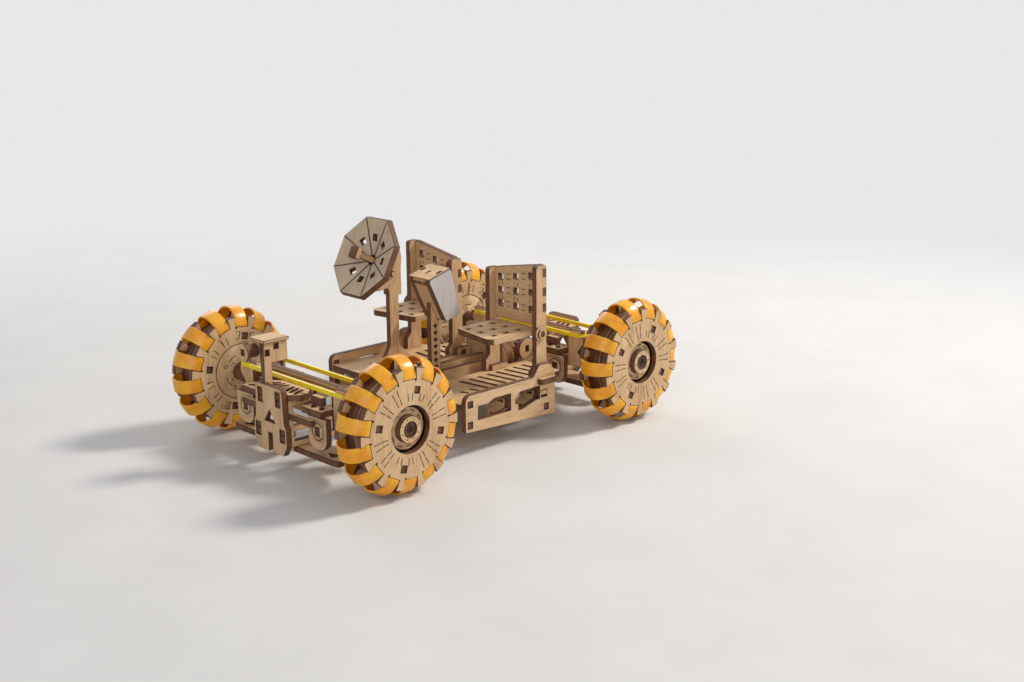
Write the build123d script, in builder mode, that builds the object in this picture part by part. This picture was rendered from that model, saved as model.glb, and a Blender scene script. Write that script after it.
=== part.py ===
from build123d import *
from math import atan2, cos, hypot, radians, sin, tan
import os

os.makedirs("parts", exist_ok=True)

# Plywood model of a two-seat planetary rover, about one fourteenth of full size
# Millimetres. The front faces -Y, the rover's own left is +X, the ground is Z = 0.

# Boards and fits
PLY = 3.0
PIN_FIT = 0.05
SIDE_PLAY = 0.3
PEG_HOLE = 3.2

# Stance
AXLE_Z = 32.0
HALF_BASE = 77.75
HALF_TRACK = 66.75

# Wheels
WHEEL_W = 18.5
DISC_R = 28.0
OPENING_R = 10.9
PEG_RING_R = 18.0
STRAP_COUNT = 14
STRAP_FACETS = 10
STRAP_W = 7.0
STRAP_T = 1.0
NOTCH_PLAY = 0.1
HUB_R = 6.2
CAP_BORE_R = 3.65
FLOOR_R = 9.9
CORE_IN_R = 20.0
CORE_OUT_R = 24.0
CORE_BAND_R = 25.5
AXLE_R = 3.0

# Steering knuckles and forks
KINGPIN_X = 44.0
KINGPIN_R = 1.6
BARREL_R = 4.6
BARREL_TAIL = 4.0
FORK_IN_X = 30.0
FORK_OUT_X = 49.0
FORK_HALF_W = 6.0
FORK_PLAY = 0.4
POST_IN_X = 32.0
POST_OUT_X = 43.0
POST_NECK_X = 40.0
BAND_T = 1.2
BAND_H = 2.0
BAND_LIFT = 0.2
HOOK_H = 1.6

# End modules, where D is a distance from the axle along Y
CIRCLE_D = 14.75
CIRCLE_IN_X = 22.0
CIRCLE_OUT_X = 36.0
CIRCLE_LOW_Z = 15.0
BRACKET_IN_X = 17.0
BRACKET_IN_D = 8.0
NECK_W = 8.0
NECK_H = 4.0
ARM_Z = 26.0
ARM_OUT_X = 28.0
CROSS_Z = 37.5
CROSS_H = 4.0
CROSS_END_X = 27.0
TOP_PANEL_Z = 35.0
TOP_PANEL_D = 6.25
TOP_PANEL_HALF_W = 15.5
TOP_PANEL_CUT = 4.5
PANEL_SLOTS = (3.5, 7.0, 10.5)
END_FACE_D = 22.25
END_TOP_Z = 41.0
TAB_SHY = 0.4
TOP_WINDOW = (7.1, 35.3)
LOW_WINDOW = (9.6, 18.2)
LOW_PLATE_OUT_X = 42.0
LOW_PLATE_D = (2.25, 15.25)

# Chassis
FRAME_X = 51.0
FRAME_FRONT_Y = -25.3
FRAME_REAR_Y = 36.1
FRAME_TOP_Z = 31.0
FRAME_LOW_FRONT_Z = 12.3
FRAME_LOW_REAR_Z = 9.4
DECK_Z = 26.0
DECK_IN_X = 14.0
DECK_TAIL_X = 42.0
DECK_TAIL_Y = 53.0
FLOOR_HALF_W = 16.0
SPAR_IN_X = 8.0
SPAR_LOW_Z = 12.0
SPAR_RISE_FRONT_D = 15.75
SPAR_RISE_REAR_D = 26.25
SPAR_FLANGE = 3.0
SPAR_SLOPE = 5.0
FOOTREST_Y = (23.4, 34.2)
FOOTREST_TOP_Z = 29.9
BULKHEAD_Y = 36.0
BULKHEAD_TOP_Z = 46.0

# Seats
SEAT_IN_X = 13.0
SEAT_OUT_X = 47.0
POST_FRONT_Y = 26.5
FOOT_FLARE = 2.8
FOOT_H = 6.0
POST_REAR_Y = 34.0
BACK_IN_TOP_Z = 80.6
BACK_OUT_TOP_Z = 86.0
BACK_LOW_Z = 54.5
PAN_MID_Z = 51.5
PAN_FRONT_OUT_Y = -2.2
PAN_FRONT_IN_Y = 3.2
PAN_TAIL = 2.0
FOLD_GAP = 0.4
HINGE_R = 1.5
HINGE_WASHER_R = 4.0
HINGE_HEAD_R = 2.6

# Mast and dish
MAST_X = -25.5
MAST_FRONT_Y = -6.8
MAST_W = 6.1
MAST_HEAD_Z = 64.5
MAST_TOP_Z = 80.7
DISH_R = 22.1
DISH_DEPTH = 6.8
DISH_TILT = 27.0
DISH_Y = -24.0
DISH_Z = 88.2
DISH_HOLE_R = 2.6
RIB_R = 14.6
PIVOT_Y = -6.8
PIVOT_Z = 76.8
PIVOT_R = 1.5
FEED_L = 14.0

# Console
CONSOLE_HALF_W = 8.0
CONSOLE_POST_Y = (-1.0, 5.3)

# Television camera
CAMERA_X = -4.0
CAMERA_SET_BACK = 1.3
CAMERA_L = 13.2
CAMERA_Z = (50.0, 60.0)
CAMERA_BODY_W = 7.0
LENS_R = 4.4
LENS_L = 5.8

# Sizes that follow from the ones above
wheel_in_x = HALF_TRACK - WHEEL_W / 2
strap_r = WHEEL_W / 2
seat_r = AXLE_Z - strap_r
drum_l = WHEEL_W - 2 * PLY
bore_r = AXLE_R + PIN_FIT
fork_top_z = AXLE_Z + BARREL_R + FORK_PLAY
fork_low_z = AXLE_Z - BARREL_R - FORK_PLAY - PLY
fork_roof_z = fork_top_z + PLY
band_z = fork_roof_z + BAND_LIFT
circle_top_z = AXLE_Z - PLY / 2
frame_out_x = FRAME_X + PLY
deck_low_z = DECK_Z - PLY
floor_low_z = deck_low_z - PLY
spar_out_x = SPAR_IN_X + PLY
end_face_y = HALF_BASE + END_FACE_D
end_back_y = end_face_y - PLY
tab_y = end_face_y - TAB_SHY
top_panel_in_y = HALF_BASE + TOP_PANEL_D
back_y = POST_REAR_Y - PLY
hinge_y = back_y - PLY / 2 - FOLD_GAP
pan_in_x = SEAT_IN_X + PLY + SIDE_PLAY
pan_out_x = SEAT_OUT_X - SIDE_PLAY
dish_x = MAST_X + PLY
dish_slope = atan2(DISH_DEPTH, DISH_R * cos(radians(22.5)))


def lengthwise(x):
    """Sketch plane of a board that stands along the rover, with Y and Z as its axes."""
    return Plane.YZ.offset(x)


def crosswise(y):
    """Sketch plane of a board that stands across the rover, with X and Z as its axes."""
    return Plane.XZ.offset(-y)


def outline(points, radius=0.0, mode=Mode.ADD):
    """Face through corner points, each rounded by its radius."""
    with BuildLine() as rim:
        FilletPolyline(*points, radius=radius, close=True)
    make_face(rim.edges(), mode=mode)


def board():
    """Thicken the pending sketch to one board thickness about its own plane."""
    extrude(amount=PLY / 2, both=True)


def write(piece, name):
    piece.part.label = name
    export_step(piece.part, f"parts/{name}.step")


# Wheels: two notched discs, a drum between them and fourteen bent straps as the tread
# Columns: corner, side, end, angle of the first strap from +Y towards +Z
CORNERS = (
    ("front_left", 1, -1, 89.1),
    ("front_right", -1, -1, 84.0),
    ("rear_left", 1, 1, 75.2),
    ("rear_right", -1, 1, 46.4),
)
notch_l = DISC_R - seat_r + 1.0
half_pitch = 180 / STRAP_COUNT
bends = [radians(180 * step / STRAP_FACETS) for step in range(STRAP_FACETS + 1)]
strap_section = [(drum_l / 2 + strap_r * cos(bend), seat_r + strap_r * sin(bend)) for bend in bends]
bend_r = strap_r - STRAP_T
bends.reverse()
strap_section += [(drum_l / 2 + bend_r * cos(bend), seat_r + bend_r * sin(bend)) for bend in bends]

for corner, side, end, first_angle in CORNERS:
    axle_y = end * HALF_BASE
    inner_face = Plane(origin=(side * wheel_in_x, axle_y, AXLE_Z), x_dir=(0, 1, 0), z_dir=(side, 0, 0))
    drum_side = Plane(
        origin=(side * (wheel_in_x + PLY), axle_y, AXLE_Z), x_dir=(side, 0, 0), z_dir=(0, -side, 0)
    )

    with BuildPart() as discs:
        for depth, opening, hole_turn in (
            (0, bore_r, half_pitch / 2), (WHEEL_W - PLY, OPENING_R, half_pitch)
        ):
            with BuildSketch(inner_face.offset(depth)):
                Circle(DISC_R)
                Circle(opening, mode=Mode.SUBTRACT)
                with PolarLocations(PEG_RING_R, 4, start_angle=side * (first_angle - hole_turn)):
                    Rectangle(PEG_HOLE, PEG_HOLE, mode=Mode.SUBTRACT)
                with PolarLocations(seat_r + notch_l / 2, STRAP_COUNT, start_angle=side * first_angle):
                    Rectangle(notch_l, STRAP_W + 2 * NOTCH_PLAY, mode=Mode.SUBTRACT)
            extrude(amount=PLY)
    write(discs, f"wheel_discs_{corner}")

    # Stacked rings under the straps, and a hub with its floor and the drilled cap before it
    with BuildPart() as drum:
        for depth, length, radius in (
            (PLY, drum_l, CORE_OUT_R), ((WHEEL_W - PLY) / 2, PLY, CORE_BAND_R)
        ):
            with BuildSketch(inner_face.offset(depth)):
                RegularPolygon(radius, 2 * STRAP_COUNT)
                RegularPolygon(CORE_IN_R, 2 * STRAP_COUNT, mode=Mode.SUBTRACT)
            extrude(amount=length)
        for depth, length, radius, bore in (
            (PLY, drum_l, HUB_R, bore_r), (drum_l, PLY, FLOOR_R, bore_r),
            (WHEEL_W - PLY, PLY, HUB_R, CAP_BORE_R),
        ):
            with BuildSketch(inner_face.offset(depth)):
                Circle(radius)
                Circle(bore, mode=Mode.SUBTRACT)
            extrude(amount=length)
    write(drum, f"wheel_drum_{corner}")

    with BuildPart() as straps:
        for turn in range(STRAP_COUNT):
            strap_angle = radians(first_angle + 2 * half_pitch * turn)
            across = (0, -side * sin(strap_angle), side * cos(strap_angle))
            with BuildSketch(Plane(origin=drum_side.origin, x_dir=(side, 0, 0), z_dir=across)):
                outline(strap_section)
            extrude(amount=STRAP_W / 2, both=True)
    write(straps, f"wheel_straps_{corner}")

    # Knuckle: a barrel with the wheel's axle at one end and the kingpin through the other
    barrel_in_x = KINGPIN_X - BARREL_TAIL
    barrel_l = wheel_in_x - SIDE_PLAY - barrel_in_x
    barrel_face = Plane(origin=(side * barrel_in_x, axle_y, AXLE_Z), x_dir=(0, 1, 0), z_dir=(side, 0, 0))
    with BuildPart() as knuckle:
        with BuildSketch(barrel_face):
            Circle(BARREL_R)
        extrude(amount=barrel_l)
        with BuildSketch(barrel_face.offset(barrel_l)):
            Circle(AXLE_R)
        extrude(amount=SIDE_PLAY + WHEEL_W - PLY - 1)
        with BuildSketch(Plane.XY.offset(fork_low_z)):
            with Locations((side * KINGPIN_X, axle_y)):
                Circle(KINGPIN_R)
        extrude(amount=fork_roof_z - fork_low_z)
    write(knuckle, f"knuckle_{corner}")


# End modules: the same boards at the front and, turned about, at the rear
for place, end in (("front", -1), ("rear", 1)):
    axle_y = end * HALF_BASE

    with BuildPart() as fork_plates:
        for low in (fork_low_z, fork_top_z):
            with BuildSketch(Plane.XY.offset(low)):
                with Locations(((FORK_IN_X + FORK_OUT_X) / 2, axle_y)):
                    Rectangle(FORK_OUT_X - FORK_IN_X, 2 * FORK_HALF_W)
                with Locations((KINGPIN_X, axle_y)):
                    Circle(KINGPIN_R + PIN_FIT, mode=Mode.SUBTRACT)
            extrude(amount=PLY)
        fillet(fork_plates.edges().filter_by(Axis.Z).group_by(Axis.X)[-1], radius=3)
        mirror(about=Plane.YZ)
    write(fork_plates, f"fork_plates_{place}")

    with BuildPart() as fork_posts:
        for way in (-1, 1):
            with BuildSketch(crosswise(axle_y + way * (FORK_HALF_W + PLY / 2))):
                outline(
                    (
                        (POST_IN_X, fork_low_z), (POST_OUT_X, fork_low_z), (POST_OUT_X, fork_low_z + PLY),
                        (POST_NECK_X - 1, AXLE_Z), (POST_OUT_X, fork_top_z), (POST_OUT_X, fork_roof_z),
                        (POST_NECK_X, fork_roof_z), (POST_NECK_X, band_z + BAND_H),
                        (POST_NECK_X + HOOK_H, band_z + BAND_H),
                        (POST_NECK_X + HOOK_H, band_z + BAND_H + HOOK_H),
                        (POST_IN_X + PLY, band_z + BAND_H + HOOK_H), (POST_IN_X, fork_roof_z),
                    )
                )
            board()
        mirror(about=Plane.YZ)
    write(fork_posts, f"fork_posts_{place}")

    with BuildPart() as circle_plates:
        for way in (-1, 1):
            with BuildSketch(crosswise(axle_y + way * CIRCLE_D)):
                outline(
                    (
                        (CIRCLE_IN_X, circle_top_z), (CIRCLE_IN_X, CIRCLE_LOW_Z),
                        (CIRCLE_OUT_X, CIRCLE_LOW_Z), (CIRCLE_OUT_X, circle_top_z),
                    ),
                    radius=(0, 5.5, 5.5, 0),
                )
                with Locations(((CIRCLE_IN_X + CIRCLE_OUT_X) / 2, (CIRCLE_LOW_Z + circle_top_z) / 2 + 1)):
                    Rectangle(PEG_HOLE, PEG_HOLE + 1, mode=Mode.SUBTRACT)
            board()
        mirror(about=Plane.YZ)
    write(circle_plates, f"circle_plates_{place}")

    bracket_out_d = CIRCLE_D + PLY / 2
    with BuildPart() as brackets:
        for way in (-1, 1):
            with BuildSketch(Plane.XY.offset(circle_top_z)):
                with Locations(
                    ((BRACKET_IN_X + POST_IN_X) / 2, axle_y + way * (BRACKET_IN_D + bracket_out_d) / 2)
                ):
                    Rectangle(POST_IN_X - BRACKET_IN_X, bracket_out_d - BRACKET_IN_D)
                    with Locations((-PLY, 0), (PLY, 0)):
                        Rectangle(4.6, 2.0, rotation=way * 40, mode=Mode.SUBTRACT)
            extrude(amount=PLY)
            with BuildSketch(crosswise(axle_y + way * (FORK_HALF_W + PLY))):
                with Locations((BRACKET_IN_X + NECK_W / 2, circle_top_z + PLY + NECK_H / 2)):
                    Rectangle(NECK_W, NECK_H)
            board()
        mirror(about=Plane.YZ)
    write(brackets, f"brackets_{place}")

    # Arms that tie the circle plates to the spars, the low plates below and a shelf between the spars
    arm_y = end * (HALF_BASE + bracket_out_d + PLY / 2)
    with BuildPart() as arms:
        with BuildSketch(Plane.XY.offset(ARM_Z)):
            with Locations(((spar_out_x + ARM_OUT_X) / 2, arm_y)):
                Rectangle(ARM_OUT_X - spar_out_x, PLY)
        extrude(amount=PLY)
        fillet(arms.edges().filter_by(Axis.Z).group_by(Axis.X)[-1], radius=1.3)
        with BuildSketch(Plane.XY.offset(SPAR_LOW_Z - PLY)):
            low_near, low_far = LOW_PLATE_D
            outline(
                (
                    (SPAR_IN_X, axle_y + end * low_near), (LOW_PLATE_OUT_X - 8, axle_y + end * low_near),
                    (LOW_PLATE_OUT_X, axle_y + end * (low_near + 5)),
                    (LOW_PLATE_OUT_X, axle_y + end * (low_far - 1)),
                    (LOW_PLATE_OUT_X - 4, axle_y + end * low_far),
                    (SPAR_IN_X, axle_y + end * low_far),
                )
            )
            outline(
                (
                    (LOW_PLATE_OUT_X - 5, axle_y + end * (low_near + 6)),
                    (LOW_PLATE_OUT_X - 13, axle_y + end * (low_near + 8)),
                    (LOW_PLATE_OUT_X - 7, axle_y + end * (low_near + 11)),
                ),
                mode=Mode.SUBTRACT,
            )
        extrude(amount=PLY)
        mirror(about=Plane.YZ)
        with BuildSketch(Plane.XY.offset(TOP_PANEL_Z - PLY)):
            with Locations((0, end * (top_panel_in_y + end_back_y) / 2)):
                Rectangle(2 * SPAR_IN_X, end_back_y - top_panel_in_y)
        extrude(amount=PLY)
    write(arms, f"arms_{place}")

    # Cross beam with a drilled block at each end
    with BuildPart() as cross_beam:
        with BuildSketch(crosswise(axle_y)):
            with Locations((0, CROSS_Z + CROSS_H / 2)):
                Rectangle(2 * CROSS_END_X, CROSS_H)
        board()
        for side in (-1, 1):
            with BuildSketch(lengthwise(side * (CROSS_END_X + PLY / 2))):
                with Locations((axle_y, CROSS_Z + CROSS_H / 2 - 1)):
                    Rectangle(2 * PLY + 0.6, CROSS_H + 2)
                    Circle(1.2, mode=Mode.SUBTRACT)
            board()
    write(cross_beam, f"cross_beam_{place}")

    # Slotted panel with a tab in each upper window of the end plate
    window_x, window_z = TOP_WINDOW
    panel_near_y, panel_far_y = end * top_panel_in_y, end * end_back_y
    with BuildPart() as top_panel:
        with BuildSketch(Plane.XY.offset(TOP_PANEL_Z)):
            nose_x = TOP_PANEL_HALF_W - TOP_PANEL_CUT
            outline(
                (
                    (nose_x, panel_near_y), (TOP_PANEL_HALF_W, panel_near_y + end * TOP_PANEL_CUT),
                    (TOP_PANEL_HALF_W, panel_far_y - end * TOP_PANEL_CUT), (nose_x, panel_far_y),
                    (-nose_x, panel_far_y), (-TOP_PANEL_HALF_W, panel_far_y - end * TOP_PANEL_CUT),
                    (-TOP_PANEL_HALF_W, panel_near_y + end * TOP_PANEL_CUT), (-nose_x, panel_near_y),
                )
            )
            for way in (-1, 1):
                with Locations((way * window_x, end * (end_back_y + tab_y) / 2)):
                    Rectangle(PLY, tab_y - end_back_y)
                with Locations(*[(way * slot_x, (panel_near_y + panel_far_y) / 2) for slot_x in PANEL_SLOTS]):
                    Rectangle(1.6, 8, rotation=way * 25, mode=Mode.SUBTRACT)
        extrude(amount=PLY)
    write(top_panel, f"top_panel_{place}")

    # End plate with four windows, a triangle above and an open slot below
    with BuildPart() as end_plate:
        with BuildSketch(crosswise(end * (end_back_y + PLY / 2))):
            outline(
                (
                    (-10.5, END_TOP_Z), (-11.5, 24), (-13, 22), (-13, 13.5), (-10.2, 8.5), (10.2, 8.5),
                    (13, 13.5), (13, 22), (11.5, 24), (10.5, END_TOP_Z),
                ),
                radius=(2, 1, 1, 1, 0, 0, 1, 1, 1, 2),
            )
            for way in (-1, 1):
                with Locations((way * window_x, window_z)):
                    Rectangle(PLY + 1, 2 * PLY + 1, mode=Mode.SUBTRACT)
                with Locations((way * LOW_WINDOW[0], LOW_WINDOW[1])):
                    Rectangle(PLY + 1, 2 * PLY + 0.4, mode=Mode.SUBTRACT)
            outline(((0, 29.3), (-4.2, 23.3), (4.2, 23.3)), mode=Mode.SUBTRACT)
            with Locations((0, 13.2)):
                Rectangle(3.2, 9.4, mode=Mode.SUBTRACT)
        board()
    write(end_plate, f"end_plate_{place}")

    # Elastic band stretched round the four fork posts
    band_half_l = FORK_HALF_W + PLY + BAND_T
    with BuildPart() as elastic:
        with BuildSketch(Plane.XY.offset(band_z)):
            with Locations((0, axle_y)):
                RectangleRounded(2 * (POST_NECK_X + BAND_T), 2 * band_half_l, BAND_T)
                Rectangle(2 * POST_NECK_X, 2 * (band_half_l - BAND_T), mode=Mode.SUBTRACT)
        extrude(amount=BAND_H)
    write(elastic, f"elastic_band_{place}")


# Chassis side frames, each cut from one board with two stepped bays and an ear at the rear
EAR_TOP_Z = 36.6
FRAME_WINDOW = (28.2, 21.4)
FRAME_PEGS = ((-22.1, 26.2), (-22.3, 15.8), (29.8, 14.2))
FRAME_BAYS = (
    ((-17.1, 17.4), (-16.9, 24.4), (-10.8, 24.2), (-6.3, 26.1), (4.8, 26.1), (4.8, 17.4)),
    (
        (8.0, 20.0), (8.0, 22.6), (11.5, 25.6), (25.1, 25.9), (25.1, 19.2), (22.3, 19.2),
        (13.1, 16.4), (10.2, 16.4), (10.2, 20.0),
    ),
)
for name, side in (("left", 1), ("right", -1)):
    with BuildPart() as side_frame:
        with BuildSketch(lengthwise(side * (FRAME_X + PLY / 2))):
            outline(
                (
                    (FRAME_FRONT_Y, FRAME_LOW_FRONT_Z), (FRAME_FRONT_Y, FRAME_TOP_Z),
                    (20.5, FRAME_TOP_Z), (24.5, EAR_TOP_Z), (32.5, EAR_TOP_Z), (FRAME_REAR_Y, 31.5),
                    (FRAME_REAR_Y, FRAME_LOW_REAR_Z),
                ),
                radius=(1, 3.8, 2, 2.5, 3.5, 2, 1),
            )
            for bay in FRAME_BAYS:
                outline(bay, mode=Mode.SUBTRACT)
            with Locations(FRAME_WINDOW):
                Rectangle(PLY + 1.2, PLY + 0.6, mode=Mode.SUBTRACT)
            with Locations(*FRAME_PEGS):
                Rectangle(PEG_HOLE, PEG_HOLE, mode=Mode.SUBTRACT)
        board()
    write(side_frame, f"side_frame_{name}")

# Footrests beside the frames' ears, each with a keeper in the window below it
with BuildPart() as footrests:
    with BuildSketch(Plane.XY.offset(FOOTREST_TOP_Z - PLY)):
        with Locations((frame_out_x + PLY / 2, sum(FOOTREST_Y) / 2)):
            Rectangle(PLY, FOOTREST_Y[1] - FOOTREST_Y[0])
    extrude(amount=PLY)
    with BuildSketch(lengthwise(FRAME_X + PLY / 2)):
        with Locations((FRAME_WINDOW[0], FRAME_WINDOW[1] + 0.5)):
            Rectangle(PLY + 1.2, PLY - 0.4)
    board()
    mirror(about=Plane.YZ)
write(footrests, "footrests")

# Deck: a slotted board on each side of the tunnel, narrower behind the side frames
SLOT_PITCH = 6.28
SLOT_X = 29.4
SLOT_FRONT_Y = 2.8
DECK_VENTS = ((36.1, -9.7), (36.3, -3.1))
with BuildPart() as deck:
    with BuildSketch(Plane.XY.offset(deck_low_z)):
        outline(
            (
                (DECK_IN_X, FRAME_FRONT_Y), (FRAME_X, FRAME_FRONT_Y), (FRAME_X, FRAME_REAR_Y),
                (DECK_TAIL_X, FRAME_REAR_Y + 3), (DECK_TAIL_X, DECK_TAIL_Y), (DECK_IN_X, DECK_TAIL_Y),
            ),
            radius=(0, 2, 0, 2, 2, 0),
        )
        with Locations(*[(SLOT_X, SLOT_FRONT_Y + row * SLOT_PITCH) for row in range(8)]):
            Rectangle(18.4, 1.9, rotation=7, mode=Mode.SUBTRACT)
        with Locations(*DECK_VENTS):
            Rectangle(4.6, 1.7, rotation=22, mode=Mode.SUBTRACT)
    extrude(amount=PLY)
    mirror(about=Plane.YZ)
write(deck, "deck")

with BuildPart() as centre_floor:
    floor_rear_y = BULKHEAD_Y + PLY
    with BuildSketch(Plane.XY.offset(floor_low_z)):
        with Locations((0, (FRAME_FRONT_Y + floor_rear_y) / 2)):
            Rectangle(2 * FLOOR_HALF_W, floor_rear_y - FRAME_FRONT_Y)
    extrude(amount=PLY)
write(centre_floor, "centre_floor")

# Spars: two long boards on edge that run from end plate to end plate under the deck
WINDER_Y = 54.4
WINDER_Z = 32.3
spar_rise_front_y = -(HALF_BASE - SPAR_RISE_FRONT_D)
spar_rise_rear_y = HALF_BASE - SPAR_RISE_REAR_D
spar_window_y = HALF_BASE - SPAR_RISE_FRONT_D + SPAR_SLOPE + SPAR_FLANGE
tab_low_z = LOW_WINDOW[1] - PLY
tab_top_z = LOW_WINDOW[1] + PLY
with BuildPart() as spars:
    with BuildSketch(lengthwise(SPAR_IN_X + PLY / 2)):
        outline(
            (
                (-end_back_y, tab_top_z), (-tab_y, tab_top_z), (-tab_y, tab_low_z), (-end_back_y, tab_low_z),
                (-end_back_y, SPAR_LOW_Z), (end_back_y, SPAR_LOW_Z), (end_back_y, tab_low_z),
                (tab_y, tab_low_z), (tab_y, tab_top_z), (end_back_y, tab_top_z), (end_back_y, TOP_PANEL_Z),
                (HALF_BASE + PLY, TOP_PANEL_Z), (HALF_BASE + PLY, CROSS_Z), (HALF_BASE - PLY, CROSS_Z),
                (HALF_BASE - PLY, TOP_PANEL_Z), (spar_rise_rear_y, TOP_PANEL_Z),
                (spar_rise_rear_y, floor_low_z), (spar_rise_front_y, floor_low_z),
                (spar_rise_front_y - SPAR_SLOPE, TOP_PANEL_Z), (-HALF_BASE + PLY, TOP_PANEL_Z),
                (-HALF_BASE + PLY, CROSS_Z), (-HALF_BASE - PLY, CROSS_Z),
                (-HALF_BASE - PLY, TOP_PANEL_Z), (-end_back_y, TOP_PANEL_Z),
            )
        )
        with Locations((WINDER_Y, WINDER_Z)):
            Circle(PIVOT_R + PIN_FIT, mode=Mode.SUBTRACT)
        for end in (-1, 1):
            window_l = end_back_y - SPAR_FLANGE - spar_window_y
            with Locations((end * (spar_window_y + window_l / 2), (SPAR_LOW_Z + TOP_PANEL_Z) / 2)):
                Rectangle(window_l, TOP_PANEL_Z - SPAR_LOW_Z - 2 * SPAR_FLANGE, mode=Mode.SUBTRACT)
    board()
    mirror(about=Plane.YZ)
write(spars, "spars")

# Ribs under the deck: a shallow strip that ends in a deeper lug at the side frame
RIB_Y = (5.1, 25.1)
RIB_LUG = ((43.4, 13.9), (40.2, 13.4), (40.0, 11.6), (37.6, 11.0), (38.6, 15.2), (42.4, 20.2))
RIB_LUG_Z = 18.5
RIB_GAP_X = (43.8, 49.8)
RIB_GAP_Z = 21.1
with BuildPart() as deck_ribs:
    for rib_y in RIB_Y:
        with BuildSketch(crosswise(rib_y)):
            outline(
                (
                    (FRAME_X, deck_low_z), (FRAME_X, RIB_LUG_Z), *RIB_LUG, (FLOOR_HALF_W, RIB_LUG[-1][1]),
                    (FLOOR_HALF_W, deck_low_z), (RIB_GAP_X[0], deck_low_z), (RIB_GAP_X[0], RIB_GAP_Z),
                    (RIB_GAP_X[1], RIB_GAP_Z), (RIB_GAP_X[1], deck_low_z),
                )
            )
        board()
    mirror(about=Plane.YZ)
write(deck_ribs, "deck_ribs")

# Tunnel: three low beams on the centre floor and the bulkhead behind them
BEAM_X = 8.8
BEAM_FRONT_Y = -1.0
BEAM_REAR_Y = 28.0
BEAM_TOP_Z = 30.3
STEP_Y = (24.7, 34.0)
STEP_TOP_Z = 33.7
KEEL_TOP_Z = 31.0
with BuildPart() as tunnel_beams:
    with BuildSketch(lengthwise(BEAM_X)):
        outline(
            (
                (BEAM_FRONT_Y, deck_low_z), (BEAM_REAR_Y, deck_low_z), (BEAM_REAR_Y, BEAM_TOP_Z),
                (BEAM_FRONT_Y, BEAM_TOP_Z),
            ),
            radius=(0, 0, 2, 1),
        )
    board()
    with BuildSketch(lengthwise(-BEAM_X)):
        step_front_y, step_rear_y = STEP_Y
        outline(
            (
                (BEAM_FRONT_Y, deck_low_z), (step_rear_y, deck_low_z), (step_rear_y, STEP_TOP_Z),
                (step_front_y, STEP_TOP_Z), (step_front_y, BEAM_TOP_Z), (BEAM_FRONT_Y, BEAM_TOP_Z),
            )
        )
        with Locations(((step_front_y + step_rear_y) / 2, KEEL_TOP_Z)):
            Rectangle(PEG_HOLE, PEG_HOLE - 1, mode=Mode.SUBTRACT)
    board()
    with BuildSketch(lengthwise(0)):
        keel_front_y = CONSOLE_POST_Y[1]
        outline(
            (
                (keel_front_y, deck_low_z), (BULKHEAD_Y, deck_low_z), (BULKHEAD_Y, KEEL_TOP_Z),
                (keel_front_y, KEEL_TOP_Z),
            )
        )
    board()
write(tunnel_beams, "tunnel_beams")

with BuildPart() as bulkhead:
    with BuildSketch(crosswise(BULKHEAD_Y + PLY / 2)):
        outline(
            (
                (-SEAT_IN_X, deck_low_z), (SEAT_IN_X, deck_low_z), (SEAT_IN_X, BULKHEAD_TOP_Z),
                (-SEAT_IN_X, BULKHEAD_TOP_Z),
            ),
            radius=(0, 0, 2, 2),
        )
    board()
write(bulkhead, "bulkhead")

# Drive: two discs on a shaft behind the bulkhead and a winding disc on the spar
WINDER_STANDOFF = 1.5
DRIVE_X = 4.5
DRIVE_R = 8.0
DRIVE_DISC_Y = (43.0, 48.0)
drive_z = floor_low_z + DRIVE_R + 0.1
with BuildPart() as drive_discs:
    with BuildSketch(crosswise(BULKHEAD_Y + PLY)):
        with Locations((DRIVE_X, drive_z)):
            Circle(2)
    extrude(amount=BULKHEAD_Y - DRIVE_DISC_Y[-1])
    for disc_y in DRIVE_DISC_Y:
        with BuildSketch(crosswise(disc_y)):
            with Locations((DRIVE_X, drive_z)):
                Circle(DRIVE_R)
        extrude(amount=-PLY)
write(drive_discs, "drive_discs")

with BuildPart() as winder:
    with BuildSketch(lengthwise(spar_out_x + WINDER_STANDOFF)):
        with Locations((WINDER_Y, WINDER_Z)):
            Circle(5.8)
            Rectangle(PEG_HOLE - 1, PEG_HOLE, mode=Mode.SUBTRACT)
    extrude(amount=PLY)
    with BuildSketch(lengthwise(spar_out_x)):
        with Locations((WINDER_Y, WINDER_Z)):
            Circle(2.2)
    extrude(amount=WINDER_STANDOFF)
    with BuildSketch(lengthwise(spar_out_x)):
        with Locations((WINDER_Y, WINDER_Z)):
            Circle(PIVOT_R)
    extrude(amount=-2 * spar_out_x)
write(winder, "winder")

# Seats: two posts each, a slanted back between them and a folding pan
with BuildPart() as seat_posts:
    for post_x, top_z in ((SEAT_IN_X, BACK_IN_TOP_Z), (SEAT_OUT_X, BACK_OUT_TOP_Z)):
        with BuildSketch(lengthwise(post_x + PLY / 2)):
            outline(
                (
                    (POST_FRONT_Y - FOOT_FLARE, DECK_Z), (POST_REAR_Y, DECK_Z), (POST_REAR_Y, top_z),
                    (POST_FRONT_Y, top_z), (POST_FRONT_Y, DECK_Z + FOOT_H + FOOT_FLARE),
                    (POST_FRONT_Y - FOOT_FLARE, DECK_Z + FOOT_H),
                ),
                radius=(0, 0, 1.8, 1.8, 2, 1),
            )
            with Locations((hinge_y, PAN_MID_Z)):
                Circle(HINGE_R + PIN_FIT, mode=Mode.SUBTRACT)
        board()
    with BuildSketch(Plane.XY.offset(DECK_Z)):
        with Locations((SEAT_IN_X + PLY + 1, 32)):
            Rectangle(2, 11.5)
    extrude(amount=PLY)
    mirror(about=Plane.YZ)
write(seat_posts, "seat_posts")

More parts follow.
